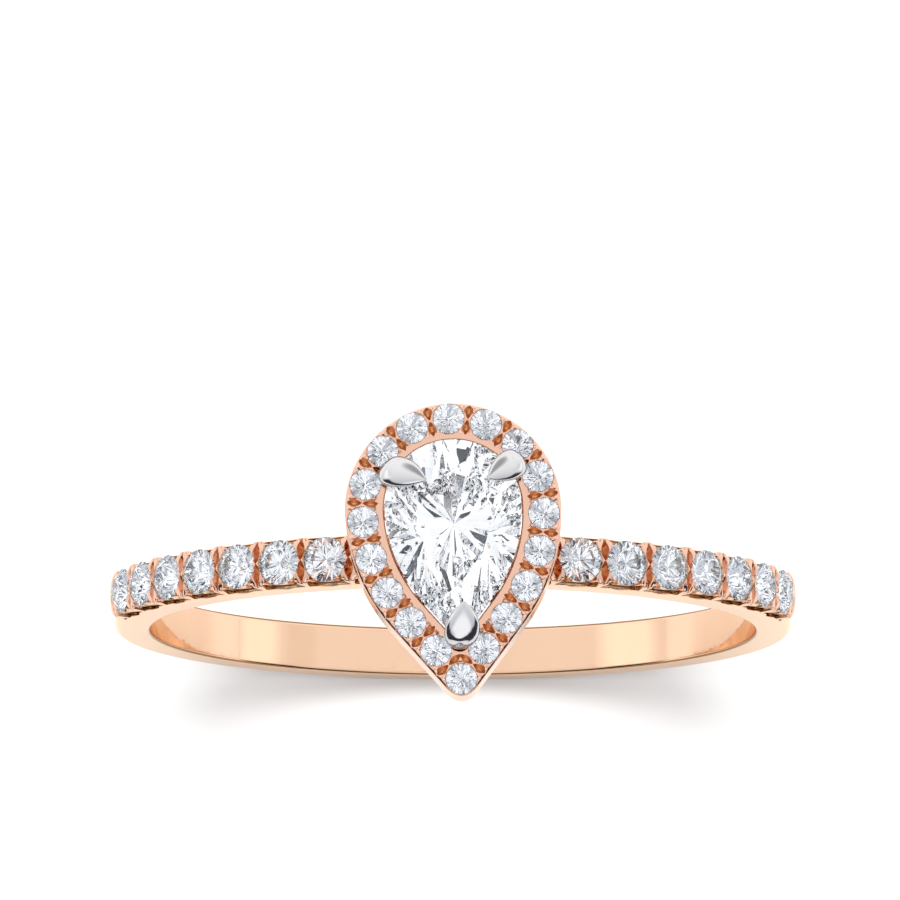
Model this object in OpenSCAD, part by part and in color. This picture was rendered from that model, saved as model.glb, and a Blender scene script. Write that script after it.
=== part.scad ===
// Engagement ring: a pear-shaped centre diamond held by three claws, inside a halo of small
// diamonds, on a band with a row of diamonds down each shoulder.
// The finger hole is centred on the origin and runs along Y. The head is at the top, +Z, and the
// point of the pear faces -Y. All sizes are in millimetres.

/* [Band] */
// Diameter of the finger hole, 17.3 for US size 7
finger_d = 17.3; // [15.5:0.1:20]
// Width of the band along the finger
band_w = 1.4; // [1.3:0.05:1.8]
// Thickness of the plain lower half of the band
band_t = 1.05; // [0.95:0.05:1.4]
// Rounding of the two edges inside the finger hole
inner_round = 0.1; // [0.05:0.01:0.15]
// Rounding of the two outer edges of the plain half
outer_round = 0.22; // [0.1:0.01:0.3]

/* [Side stones] */
// Number of stones down each shoulder
side_count = 7; // [4:1:7]
// Diameter of each side stone
side_d = 1.25; // [1.1:0.01:1.27]
// Angle from the top of the ring to the first side stone
side_first = 20.9; // [20:0.1:23]
// Angle from one side stone to the next
side_pitch = 8.2; // [8.1:0.1:9]
// Height of the side stones' girdles above the plain band's surface
side_rise = 0.25; // [0.2:0.01:0.35]

/* [Head] */
// Height of the halo's top face above the centre of the finger hole
head_z = 12.2; // [12:0.1:13]
// Distance from the pear's widest line to the middle of the band
head_y = 0.99; // [0.8:0.01:1.3]
// Turn of the whole head about its own upright axis, as it was soldered on
head_turn = 2.9; // [-5:0.1:5]
// Height of the halo's wall
halo_h = 1.2; // [1:0.05:1.3]

/* [Halo stones] */
// Number of stones round the halo
halo_count = 18; // [18:2:18]
// Diameter of each halo stone
halo_d = 0.88; // [0.8:0.01:0.9]
// Half of the width of the line on which the halo stones sit
line_a = 2.5; // [2.45:0.01:2.6]
// Radius of that line down the pear's sides
line_r = 4.7; // [4.6:0.05:4.9]

/* [Hidden] */
$fn = 48;

rose = "#e0a285";
white = "#d9dade";
ice = "#eef3f8";

// Band
finger_r = finger_d / 2;
plain_r = finger_r + band_t;
side_r = plain_r + side_rise;          // radius at the side stones' girdles
row_r = side_r + 0.02;                 // top of the raised row of side stones
row_w = band_w - 0.1;
row_end = side_first + (side_count - 0.5) * side_pitch + 2.3;
stop_end = row_end + 3;                // the low, narrow step beyond each row, in degrees
stop_r = plain_r + 0.12;
stop_w = 0.8;
flat_z = plain_r + 0.15;               // flat on top of the band, on which the head stands

// Head
sweep = 39;                            // turn of the pear's side arc before it runs straight
halo_outer = 0.46;                     // offsets from the line of halo stones
halo_inner = -0.58;
halo_tip_round = 0.5;
halo_bottom = head_z - halo_h;
halo_girdle = head_z - 0.02;
stone_offset = -0.62;                  // outline of the centre stone
stone_tip_round = 0.35;
stone_culet = -0.4;                    // the culet's place along the stone
stone_girdle_z = head_z + 0.15;
stone_crown = 0.58;
stone_girdle = 0.12;
stone_pavilion = 1.65;
rail_top = flat_z + 0.45;              // the halo's own rail, round the foot of the head
base_top = flat_z + 0.4;               // the claws' base, inside that rail

// Claws: each leg is a straight line in an upright plane, from its foot to its neck
claw_turns = [35, 145, 270];           // about the middle of the pear's round end
claw_foot = [[1, base_top], [1, base_top], [2.4, base_top]];
claw_neck = [[2.04, head_z - 0.1], [2.04, head_z - 0.1], [3.72, head_z - 0.1]];
claw_half_w = [0.39, 0.39, 0.48];      // half width of each claw's tip
claw_names = ["claw_right", "claw_left", "claw_tip"];
foot_r = 0.26;
neck_r = 0.22;
peg_r = 0.4;

// Posts that carry the halo, by their places along the line of halo stones
post_places = [0, 3.5, 6.5, 11.5, 14.5];
post_r = 0.25;

gap = 0.01;                            // clearance round each stone and claw

function two_digits(i) = str(i < 10 ? "0" : "", i);
side_names = [for (s = ["left", "right"], i = [1 : side_count]) str("side_stone_", s, "_", i)];
halo_names = [for (i = [1 : halo_count]) str("halo_stone_", two_digits(i))];
post_names = [for (i = [1 : len(post_places)]) str("halo_post_", i)];
metal_names = ["band", "halo", "gallery_rail", "head_base", "seat_rail"];

// ---- The pear outline -------------------------------------------------------------------------
// A half circle at the top, an arc of radius line_r down each side, then a straight line to the
// tip. It is drawn at an offset from the line of halo stones, so all the outlines run parallel.

function end_x(off) = line_a + off - (line_r + off) * (1 - cos(sweep));
function tip_y(off) = -(line_r + off) * sin(sweep) - end_x(off) / tan(sweep);

function pear_half(off, tip_round) = concat(
    [for (t = [90 : -6 : 0]) (line_a + off) * [cos(t), sin(t)]],
    [for (t = [5 : 5 : sweep]) [line_a - line_r, 0] + (line_r + off) * [cos(t), -sin(t)]],
    [for (t = [sweep : 10 : 90])
        [0, tip_y(off) + tip_round / sin(sweep)] + tip_round * [cos(t), -sin(t)]]);

function mirrored(p) = [for (i = [len(p) - 2 : -1 : 1]) [-p[i][0], p[i][1]]];

module pear(off, tip_round) {
    half = pear_half(off, tip_round);
    polygon(concat(half, mirrored(half)));
}

// A place along the line of halo stones, counted in stones from the top: [x, y, outward angle].
arc_end = line_a * PI / 2;
arc_side = line_r * sweep * PI / 180;
half_line = arc_end + arc_side + end_x(0) / sin(sweep);
halo_step = half_line / (halo_count / 2);

function right_place(s) =
    s <= arc_end ? let (t = 90 - s / line_a * 180 / PI) [line_a * cos(t), line_a * sin(t), t]
    : s <= arc_end + arc_side ? let (t = (s - arc_end) / line_r * 180 / PI)
        [line_a - line_r + line_r * cos(t), -line_r * sin(t), -t]
    : let (d = s - arc_end - arc_side)
        [end_x(0) - d * sin(sweep), -line_r * sin(sweep) - d * cos(sweep), -sweep];

function line_place(i) =
    i <= halo_count / 2 ? right_place(i * halo_step)
    : let (p = right_place((halo_count - i) * halo_step)) [-p[0], p[1], 180 - p[2]];

module on_head() translate([0, head_y, 0]) rotate([0, 0, head_turn]) children();

module at_line(i, z) {
    p = line_place(i);
    translate([p[0], p[1], z]) rotate([0, 0, p[2]]) children();
}

// ---- Stones -----------------------------------------------------------------------------------
// A brilliant cut with eight main facets above and below. girdle holds 16 steps round the outline
// with extra points between, so the half facets end on the curved girdle and stay flat.

function flat_z_at(a, b, c, q) =
    let (n = cross(b - a, c - a)) a[2] - (n[0] * (q[0] - a[0]) + n[1] * (q[1] - a[1])) / n[2];

function ring_mid(a, b, share) = a + share * (b - a);

module brilliant(girdle, steps, table, crown, thick, pavilion) {
    n = len(girdle);
    mains = [for (k = [0 : 7]) girdle[2 * k * steps]];
    betweens = [for (k = [0 : 7]) girdle[(2 * k + 1) * steps]];
    up = thick / 2;
    top = [for (m = mains) [table * m[0], table * m[1], up + crown]];
    star = [for (k = [0 : 7]) let (
        edge = (top[k] + top[(k + 1) % 8]) / 2,
        out = [betweens[k][0], betweens[k][1], 0],
        p = ring_mid([edge[0], edge[1], 0], out, 0.5))
        [p[0], p[1], up + crown * 0.56]];
    low = [for (k = [0 : 7]) [0.24 * betweens[k][0], 0.24 * betweens[k][1], -up - pavilion * 0.79]];
    function corner(k, z) = let (g = girdle[(k * steps) % n]) [g[0], g[1], z];
    function height(i, z, ring) = let (
        k = floor(i / steps),
        m = ring[floor((k % 16) / 2)])
        i % steps == 0 ? z : flat_z_at(m, corner(k, z), corner(k + 1, z), girdle[i]);
    upper = [for (i = [0 : n - 1]) [girdle[i][0], girdle[i][1], height(i, up, star)]];
    lower = [for (i = [0 : n - 1]) [girdle[i][0], girdle[i][1], height(i, -up, low)]];
    points = concat(top, star, upper, lower, low, [[0, 0, -up - pavilion]]);
    s0 = 8;
    u0 = 16;
    d0 = u0 + n;
    l0 = d0 + n;
    culet = l0 + 8;
    half = 2 * steps;
    faces = concat(
        [for (k = [1 : 6]) [0, k + 1, k]],
        [for (k = [0 : 7]) [k, (k + 1) % 8, s0 + k]],
        [for (k = [0 : 7]) each let (g = u0 + k * half, b = s0 + (k + 7) % 8)
            [[k, s0 + k, g], [k, g, b]]],
        [for (i = [0 : n - 1]) [s0 + floor(i / half), u0 + (i + 1) % n, u0 + i]],
        [for (i = [0 : n - 1]) each let (j = (i + 1) % n)
            [[u0 + i, u0 + j, d0 + j], [u0 + i, d0 + j, d0 + i]]],
        [for (i = [0 : n - 1]) [l0 + floor(i / half), d0 + i, d0 + (i + 1) % n]],
        [for (k = [0 : 7]) each let (g = d0 + k * half, b = l0 + (k + 7) % 8)
            [[culet, g, l0 + k], [culet, b, g]]]);
    polyhedron(points, faces);
}

function circle_points(d, n) = [for (i = [0 : n - 1]) d / 2 * [cos(360 * i / n), sin(360 * i / n)]];

// Proportions of a round brilliant of diameter 1
table_share = 0.58;
crown_share = 0.15;
girdle_share = 0.035;
pavilion_share = 0.43;

module round_stone(d) color(ice)
    brilliant(circle_points(d, 16), 1, table_share, d * crown_share, d * girdle_share,
        d * pavilion_share);

// The same envelope as a turned shape, a little larger, to cut a seat under a stone.
module seat(d, drill_r, depth) {
    r = d / 2 + gap;
    up = d * girdle_share / 2 + gap;
    rotate_extrude() polygon([
        [0, -depth], [drill_r, -depth], [drill_r, -up - d * pavilion_share * (1 - drill_r / r)],
        [r, -up], [r, up], [r * table_share, up + d * crown_share],
        [r * table_share, 2 * d], [0, 2 * d]]);
}

// The pear stone's girdle: eight mains and eight betweens, spaced evenly round the outline.
stone_steps = 3;
function along(p, d, i = 0) = let (e = norm(p[i + 1] - p[i]))
    d <= e || i == len(p) - 2 ? p[i] + (d / e) * (p[i + 1] - p[i]) : along(p, d - e, i + 1);
function length_of(p, i = 0) = i == len(p) - 1 ? 0 : norm(p[i + 1] - p[i]) + length_of(p, i + 1);
stone_half = pear_half(stone_offset, stone_tip_round);
stone_right = [for (i = [0 : 8 * stone_steps])
    along(stone_half, length_of(stone_half) * i / (8 * stone_steps))];
stone_ring = concat(mirrored(stone_right), stone_right);
stone_girdle_points = [for (i = [0 : 16 * stone_steps - 1])
    stone_ring[(16 * stone_steps - 1 - i + 8 * stone_steps) % (16 * stone_steps)]];

module pear_stone() translate([0, stone_culet, stone_girdle_z])
    brilliant([for (p = stone_girdle_points) p - [0, stone_culet]], stone_steps, table_share,
        stone_crown, stone_girdle, stone_pavilion);

module centre_stone() color(ice) on_head() pear_stone();

// ---- Settings for the small stones ------------------------------------------------------------
// Between two neighbouring stones, on each side of their line, stand two prongs with a pocket
// between them. +X points across the line of stones here.

module pocket(from, to, w, depth) translate([0, 0, -depth])
    linear_extrude(2 * depth) polygon(concat(
        [for (t = [90 : 30 : 270]) [from + w / 2 + w / 2 * cos(t), w / 2 * sin(t)]],
        [for (t = [-90 : 30 : 90]) [to - w / 2 + w / 2 * cos(t), w / 2 * sin(t)]]));

module prongs(across, apart, r, low, high)
    for (x = [-across, across], y = [-apart, apart])
        translate([x, y, -low]) cylinder(r = r, h = low + high);

// ---- Band -------------------------------------------------------------------------------------

module about_finger() rotate([90, 0, 0]) children();

// Half of the outline across the band, mirrored: radius along X, finger along Y.
function band_half() = concat(
    [for (t = [180 : 30 : 270]) let (r = inner_round)
        [finger_r + r + r * cos(t), -band_w / 2 + r + r * sin(t)]],
    [for (t = [270 : 15 : 360]) let (r = outer_round)
        [plain_r - r + r * cos(t), -band_w / 2 + r + r * sin(t)]]);

module band_section() {
    h = band_half();
    polygon(concat(h, [for (i = [len(h) - 1 : -1 : 0]) [h[i][0], -h[i][1]]]));
}

module at_side(angle) rotate([0, angle, 0]) translate([0, 0, side_r]) rotate([0, 0, 90]) children();

// A raised strip over the top of the band, as far as one angle on each side.
module strip(to, w, r) about_finger() rotate([0, 0, 90 - to])
    rotate_extrude(angle = 2 * to, $fn = 192)
        translate([plain_r - outer_round, -w / 2]) square([r - plain_r + outer_round, w]);

module band() color(rose) difference() {
    union() {
        about_finger() rotate_extrude($fn = 192) band_section();
        strip(row_end, row_w, row_r);
        strip(stop_end, stop_w, stop_r);
        for (s = [-1, 1], i = [0 : side_count])
            at_side(s * (side_first + (i - 0.5) * side_pitch)) prongs(0.45, 0.2, 0.13, 0.4, 0.14);
    }
    for (s = [-1, 1], i = [0 : side_count - 1]) at_side(s * (side_first + i * side_pitch)) {
        seat(side_d, 0.25, 0.75);
        for (x = [-0.97, 0.97]) translate([x, 0, -0.4]) cylinder(r = 0.42, h = 1);
    }
    for (s = [-1, 1], i = [0 : side_count]) at_side(s * (side_first + (i - 0.5) * side_pitch))
        for (m = [0, 1]) mirror([m, 0, 0]) pocket(0.12, 0.52, 0.2, 0.4);
    translate([-plain_r / 2, -band_w, flat_z]) cube([plain_r, 2 * band_w, 1]);
    translate([0, 0, finger_r + 0.15]) cylinder(r = peg_r + gap, h = 2);
}

module side_stone(name) {
    i = search([name], side_names)[0];
    s = i < side_count ? -1 : 1;
    at_side(s * (side_first + (i % side_count) * side_pitch)) round_stone(side_d);
}

// ---- Head -------------------------------------------------------------------------------------

module pear_ring(outer, inner, bottom, top) translate([0, 0, bottom]) linear_extrude(top - bottom)
    difference() {
        pear(outer, min(halo_tip_round, (outer + 2) / 3));
        pear(inner, 0.1);
    }

// A straight round bar between two points, with its own radius at each end.
module bar(a, b, ra, rb) {
    d = b - a;
    translate(a) rotate([0, acos(d[2] / norm(d)), atan2(d[1], d[0])])
        cylinder(r1 = ra, r2 = rb, h = norm(d));
}

function in_plane(turn, p) = [p[0] * cos(turn), p[0] * sin(turn), p[1]];

module leg_space() for (i = [0 : 2]) {
    foot = in_plane(claw_turns[i], claw_foot[i]);
    neck = in_plane(claw_turns[i], claw_neck[i]);
    bar(foot, neck, foot_r + gap, neck_r + gap);
    translate([neck[0], neck[1], neck[2] - 0.6]) cylinder(r = neck_r + 0.04, h = 1);
}

module halo() color(rose) on_head() difference() {
    union() {
        pear_ring(halo_outer, halo_inner, halo_bottom, head_z);
        for (i = [0.5 : halo_count]) at_line(i, halo_girdle) prongs(0.33, 0.16, 0.11, 0.3, 0.12);
    }
    for (i = [0 : halo_count - 1]) at_line(i, halo_girdle) seat(halo_d, 0.2, 2);
    for (i = [0.5 : halo_count], m = [0, 1]) at_line(i, halo_girdle) mirror([m, 0, 0])
        pocket(0.1, 0.38, 0.15, 0.35);
    leg_space();
}

module halo_stone(name) {
    i = search([name], halo_names)[0];
    on_head() at_line(i, halo_girdle) round_stone(halo_d);
}

module gallery_rail() color(rose) on_head() pear_ring(-0.9, -1.25, flat_z, rail_top);

module halo_post(name) {
    i = post_places[search([name], post_names)[0]];
    p = line_place(i);
    out = [cos(p[2]), sin(p[2])];
    foot = [p[0], p[1]] - 1.2 * out;
    head = [p[0], p[1]] - 0.25 * out;
    color(rose) on_head() intersection() {
        bar([foot[0], foot[1], rail_top - 0.3], [head[0], head[1], halo_bottom + 0.3], post_r,
            post_r);
        translate([-10, -10, rail_top]) cube([20, 20, halo_bottom - rail_top]);
    }
}

module head_base() color(white) {
    on_head() pear_ring(-1.26, -1.6, flat_z, base_top);
    translate([-1.1, -0.25, flat_z]) cube([2.2, 0.5, 0.25]);
    translate([0, 0, finger_r + 0.15 + gap]) cylinder(r = peg_r, h = flat_z - finger_r - 0.14);
}

module seat_rail() color(white) on_head() difference() {
    pear_ring(-0.92, -1.22, head_z - 0.9, head_z - 0.55);
    leg_space();
}

// One claw: its straight leg, then the drop-shaped tip that is pressed down on the stone. The tip
// is made of flattened balls, each [distance out, height, radius across, radius along].
function tip_balls(x, w) = let (z = head_z) [
    [x, z + 0.15, 0.24, 0.22], [x, z + 0.4, w * 0.92, 0.24], [x - 0.14, z + 0.47, w, 0.27],
    [x - 0.32, z + 0.56, w * 0.82, 0.24], [x - 0.52, z + 0.65, w * 0.56, 0.19],
    [x - 0.7, z + 0.71, w * 0.34, 0.14], [x - 0.86, z + 0.75, 0.08, 0.08]];

module ball_at(b) translate([b[0], 0, b[1]]) scale([b[3], b[2], b[3]]) sphere(r = 1, $fn = 20);

module claw(name) {
    i = search([name], claw_names)[0];
    foot = claw_foot[i];
    neck = claw_neck[i];
    balls = tip_balls(neck[0], claw_half_w[i]);
    color(white) on_head() difference() {
        rotate([0, 0, claw_turns[i]]) {
            hull() {
                translate([foot[0], 0, foot[1]]) cylinder(r = foot_r, h = 0.1, $fn = 20);
                translate([neck[0], 0, neck[1]]) sphere(r = neck_r, $fn = 20);
            }
            hull() {
                translate([neck[0], 0, neck[1]]) sphere(r = neck_r, $fn = 20);
                ball_at(balls[0]);
            }
            for (k = [0 : len(balls) - 2]) hull() {
                ball_at(balls[k]);
                ball_at(balls[k + 1]);
            }
        }
        minkowski() {
            pear_stone();
            cube(2 * gap, center = true);
        }
    }
}

// ---- Nodes ------------------------------------------------------------------------------------

band();
halo();
gallery_rail();
head_base();
seat_rail();
centre_stone();
for (n = post_names) halo_post(n);
for (n = claw_names) claw(n);
for (n = halo_names) halo_stone(n);
for (n = side_names) side_stone(n);
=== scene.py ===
"""Engagement ring: a pear-shaped diamond in three claws, inside a halo, on a band with two rows
of small diamonds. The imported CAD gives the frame, and each metal piece and stone is rebuilt here in
fine detail."""
import math

import bpy
import numpy as np
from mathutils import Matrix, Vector


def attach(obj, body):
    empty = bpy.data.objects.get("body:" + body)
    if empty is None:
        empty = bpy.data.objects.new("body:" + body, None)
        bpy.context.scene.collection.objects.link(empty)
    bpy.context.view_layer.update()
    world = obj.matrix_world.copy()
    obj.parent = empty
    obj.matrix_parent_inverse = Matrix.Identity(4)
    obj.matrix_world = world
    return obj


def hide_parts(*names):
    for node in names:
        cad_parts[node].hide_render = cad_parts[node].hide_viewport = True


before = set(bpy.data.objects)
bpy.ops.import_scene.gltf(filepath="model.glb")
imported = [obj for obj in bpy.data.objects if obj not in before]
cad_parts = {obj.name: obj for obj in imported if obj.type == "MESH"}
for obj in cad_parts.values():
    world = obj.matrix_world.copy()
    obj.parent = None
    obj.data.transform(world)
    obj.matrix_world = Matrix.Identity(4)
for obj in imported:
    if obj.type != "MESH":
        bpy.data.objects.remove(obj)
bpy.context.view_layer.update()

MM = 0.001
MOST_TRIANGLES = 190000                # in one piece

# Grid steps of the meshes, in millimetres
FINE_STEP = 0.03
CLAW_STEP = 0.028
HIDDEN_STEP = 0.04
HEAD_ARC = 14                          # degrees from the top that the head covers
HEAD_ARC_STEP = 0.4                    # in degrees
PLAIN_STEPS = 100                      # over each half of the plain part of the band

# ---- Sizes, in millimetres -----------------------------------------------------------------------
FINGER_R = 8.65                        # the finger hole
PLAIN_R = 9.70                         # outside of the plain half of the band
BAND_W = 1.4
FLAT_Z = 9.85                          # flat on top of the band, under the head
INNER_ROUND = 0.09                     # rounding of the band's edges, in the bore and outside
OUTER_ROUND = 0.22

SIDE_COUNT = 7
SIDE_D = 1.25
SIDE_FIRST = 20.9                      # degrees from the top to the first side stone
SIDE_PITCH = 8.2
SIDE_R = 9.95                          # radius at the side stones' girdles
ROW_HALF_W = 0.59                      # the raised row that holds the side stones
ROW_TOP = 0.1                          # height of the prongs above the girdles
ROW_CROWN = 0.08                       # how much lower the row is at its sides than in the middle
ROW_ROUND = 0.12
GROOVE_IN = 0.58                       # the groove along each side of the row
GROOVE_OUT = 0.655
GROOVE_R = 9.38                        # radius at the groove's floor
FIN_OUT = 0.655                        # how far out the prongs' fins reach over the groove
SCALLOP_R = 0.47                       # the arch that shows each side stone's side
SCALLOP_IN = 0.44
SIDE_POCKET = (0.30, 0.095, 0.26)      # pocket in each gap: place across, half width, half length
SIDE_POCKET_DEPTH = 0.3
NOTCH_IN = 0.48                        # the notch between the two prongs, from here outward
SIDE_DRILL_R = 0.25
SIDE_DRILL_DEPTH = 0.75
ROW_END = SIDE_FIRST + (SIDE_COUNT - 0.5) * SIDE_PITCH + 2.2

HEAD_Z = 12.2                          # top face of the halo
HEAD_Y = 0.99                          # middle of the pear's round end, along the finger
HEAD_TURN = math.radians(2.9)
HALO_H = 1.2
HALO_COUNT = 18
HALO_D = 0.85
LINE_A = 2.5                           # the line of halo stones: a half circle of this radius,
LINE_R = 4.7                           # then side arcs of this radius over this sweep, then
SWEEP = math.radians(39)               # straight to the tip
HALO_OUTER = 0.49                      # the halo's outer and inner edges, measured from that line
HALO_INNER = -0.6
HALO_ROUND = 0.05
HALO_BOTTOM = HEAD_Z - HALO_H
HALO_GIRDLE = HEAD_Z - 0.02            # height of the halo stones' girdles
RIM_THINNER = 0.06                     # the rim is this much thinner round the pear's round end
BEVEL = 0.075                          # on the rim's outer edge
BEAD_OUT = 0.27                        # prongs: how far to each side of the line they stand,
BEAD_ALONG = 0.15                      # how far from the middle of a gap,
BEAD_R = 0.085                         # and their radius
HALO_POCKET = (0.225, 0.075, 0.195)    # place across, half width, half length
HALO_POCKET_DEPTH = 0.16
HALO_DRILL_R = 0.2
HALO_DRILL_DEPTH = 2.0
TIP_ROUND = 0.75                       # rounding of the pear's point outside and inside
INNER_TIP_ROUND = 0.1

# Walls of the rails and of the claws' base: outer and inner offset from the line of halo stones
RAIL_WALL = (-0.9, -1.25)
SEAT_RAIL_WALL = (-0.92, -1.22)
BASE_WALL = (-1.26, -1.6)
RAIL_TOP = FLAT_Z + 0.45               # top of the halo's rail on the band
BASE_TOP = FLAT_Z + 0.4                # top of the claws' base
SEAT_RAIL_TOP = HEAD_Z - 0.55
SEAT_RAIL_LOW = HEAD_Z - 0.9
RAIL_ROUND = 0.1

STONE_OFFSET = -0.62                   # centre stone's edge, measured from the line of halo stones
STONE_GIRDLE_Z = HEAD_Z + 0.15
STONE_CROWN = 0.58
STONE_GIRDLE = 0.12
STONE_PAVILION = 1.95
STONE_TABLE = 0.58                     # table as a share of the outline
STONE_CULET = (0, -0.4)                # the lowest point, from the middle of the round end
STONE_TIP_ROUND = 0.35
GAP = 0.005                            # clearance round each stone and each claw's leg

# Heights of the facets' corners: stars as a share of the crown, lower halves of the pavilion
STAR_HEIGHT = 0.56
LOWER_DEPTH = 0.79

# A round brilliant's table, crown, girdle and pavilion, as shares of its width
ROUND_TABLE = 0.56
ROUND_CROWN = 0.15
ROUND_GIRDLE = 0.035
ROUND_PAVILION = 0.43

# Each stone is turned in its seat this much more than the one before, in radians
HALO_SPIN = 0.7
SIDE_SPIN = 0.4

# Each claw: turn about the pear's round end, its foot and neck as distance out and height, then
# the inner end, widest place, outer end and half width of its tip, its shift sideways and its lean
CLAWS = {
    "claw_right": (32, (1.0, BASE_TOP), (2.04, HEAD_Z - 0.1), 1.18, 1.98, 2.38, 0.43, 0.02, 0.0),
    "claw_left": (147, (1.0, BASE_TOP), (2.04, HEAD_Z - 0.1), 0.96, 1.82, 2.28, 0.46, -0.03, 0.17),
    "claw_tip": (270, (2.4, BASE_TOP), (3.72, HEAD_Z - 0.1), 2.74, 3.46, 3.95, 0.485, 0.08, -0.12),
}
FOOT_R = 0.26                          # a claw's leg at its foot and at its neck
NECK_R = 0.22
DROP_CURVE = 2.6                       # how full a claw's tip is at its outer end
DROP_THICK = 0.27                      # half its thickness at its widest place
DROP_HEIGHT = 0.42                     # its middle there, above the halo
POST_PLACES = (0, 3.5, 6.5, 11.5, 14.5)  # counted in halo stones from the top of the pear
POST_R = 0.25
PEG_R = 0.4
PEG_LOW = FINGER_R + 0.16

# ---- Distance fields -----------------------------------------------------------------------------
# Each cast piece is a distance field over points (N, 3), negative inside, joined and cut with
# rounded edges, then turned into a mesh.


def smax(a, b, k):
    """The greater of two distances, rounded over a width k: an intersection with a soft edge."""
    h = np.clip(0.5 + 0.5 * (a - b) / k, 0, 1)
    return b + (a - b) * h + k * h * (1 - h)


def smin(a, b, k):
    """The lesser of two distances, rounded over a width k: a union with a soft fillet."""
    return -smax(-a, -b, k)


def rounded_box(p, q, half_p, half_q, r):
    """Distance to a rectangle in the plane of p and q, with corners rounded to r."""
    dp = np.abs(p) - half_p + r
    dq = np.abs(q) - half_q + r
    return np.hypot(np.maximum(dp, 0), np.maximum(dq, 0)) + np.minimum(np.maximum(dp, dq), 0) - r


def seat(x, y, z, d, drill_r, depth):
    """The room that a round stone takes in the metal: open above, a cone below, a drilled hole."""
    radius = d / 2 + GAP
    rho = np.hypot(x, y)
    cone = (rho - radius - 1.1 * np.minimum(z + 0.03, 0)) * 0.67
    drill = np.maximum(rho - drill_r, -depth - z)
    return np.minimum(np.maximum(cone, -0.43 * d - z), drill)


def lens(x, v, half_w, half_l):
    """A pointed oval across the line of stones, as a graver cuts it."""
    return (np.abs(x) - half_w * (1 - (v / half_l) ** 2)) * 0.8


# ---- Meshes from distance fields -----------------------------------------------------------------

def gradient(field, p, h):
    """The slope of a field at points, by central differences over h."""
    g = np.empty_like(p)
    for axis in range(3):
        step = np.zeros(3)
        step[axis] = h
        g[:, axis] = (field(p + step) - field(p - step)) / (2 * h)
    return g


def cell_corners(values, cells, wrap):
    """The values at each corner of every grid cell, by corner."""

    def shifted(i, j, k):
        a = values
        if wrap and i:
            a = np.roll(a, -1, axis=0)
        elif not wrap:
            a = a[i:i + cells[0]]
        return a[:, j:j + cells[1], k:k + cells[2]]

    return {(i, j, k): shifted(i, j, k) for i in (0, 1) for j in (0, 1) for k in (0, 1)}


def crossing_points(corners, active):
    """The mean of the places where each active cell's edges cross zero, in grid steps."""
    where = np.argwhere(active)
    total = np.zeros((len(where), 3))
    hits = np.zeros(len(where))
    for a in corners:
        for axis in range(3):
            if a[axis]:
                continue
            b = list(a)
            b[axis] = 1
            va = corners[a][active]
            vb = corners[tuple(b)][active]
            cross = (va < 0) != (vb < 0)
            t = np.where(cross, va / np.where(cross, va - vb, 1), 0)
            point = np.array(a, dtype=float) + np.zeros((len(where), 3))
            point[:, axis] += t
            total += np.where(cross[:, None], point, 0)
            hits += cross
    return where + total / hits[:, None]


def net_quads(inside, index, cells, wrap):
    """A quad round each grid edge that passes through the surface, wound to face outward."""
    quads = []
    for axis in range(3):
        u, v = [k for k in range(3) if k != axis]
        lo = [slice(None)] * 3
        hi = [slice(None)] * 3
        hi[axis] = slice(1, None)
        lo[axis] = slice(0, -1)
        if wrap and axis == 0:
            first, second = inside, np.roll(inside, -1, axis=0)
        else:
            first, second = inside[tuple(lo)], inside[tuple(hi)]
        edge = np.argwhere(first != second)
        flip = first[tuple(edge.T)]
        ring = []
        for du, dv in ((0, 0), (-1, 0), (-1, -1), (0, -1)):
            c = edge.copy()
            c[:, u] += du
            c[:, v] += dv
            if wrap:
                c[:, 0] %= cells[0]
            ring.append(c)
        ok = np.ones(len(edge), dtype=bool)
        for c in ring:
            ok &= ((c >= 0) & (c < cells)).all(axis=1)
        q = np.stack([index[tuple(np.where(ok[:, None], c, 0).T)] for c in ring], axis=1)
        if axis == 1:
            flip = ~flip
        q[~flip] = q[~flip][:, ::-1]
        quads.append(q[ok])
    return np.concatenate(quads)


def surface_net(values, axes, wrap):
    """Points and quads around the zero level of values, given on the grid of the three axes. wrap
    joins the last layer of the first axis to its first."""
    inside = values < 0
    cells = np.array(values.shape) - 1
    if wrap:
        cells[0] += 1
    corners = cell_corners(values, cells, wrap)
    count = sum((c < 0).astype(np.int8) for c in corners.values())
    active = (count > 0) & (count < 8)
    index = np.full(active.shape, -1, dtype=np.int64)
    index[active] = np.arange(active.sum())
    local = crossing_points(corners, active)
    places = np.empty_like(local)
    for axis in range(3):
        steps = axes[axis]
        if wrap and axis == 0:
            steps = np.append(steps, steps[0] + 2 * math.pi)
        places[:, axis] = np.interp(local[:, axis], np.arange(len(steps)), steps)
    return places, net_quads(inside, index, cells, wrap)


def polished(field, p, step, rounds=3):
    """Points moved onto the zero level of a field."""
    for _ in range(rounds):
        g = gradient(field, p, step * 0.1)
        length = np.maximum((g * g).sum(axis=1), 0.05)
        move = field(p)[:, None] * g / length[:, None]
        p = p - np.clip(move, -0.5 * step, 0.5 * step)
    return p


def turned(p, angle):
    """Points turned about the upright axis."""
    c, s = math.cos(angle), math.sin(angle)
    return np.stack([c * p[:, 0] - s * p[:, 1], s * p[:, 0] + c * p[:, 1], p[:, 2]], axis=1)


def head_to_ring(p):
    """From the head's frame, at the middle of the pear's round end, to the ring's."""
    return turned(p, HEAD_TURN) + [0, HEAD_Y, 0]


def ring_to_head(p):
    """From the ring's frame to the head's."""
    return turned(p - [0, HEAD_Y, 0], -HEAD_TURN)


def make_object(name, points, faces):
    """An object from points in millimetres and a list of faces."""
    mesh = bpy.data.meshes.new(name)
    mesh.from_pydata((points * MM).tolist(), [], faces)
    mesh.update()
    obj = bpy.data.objects.new(name, mesh)
    bpy.context.scene.collection.objects.link(obj)
    return obj


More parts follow.
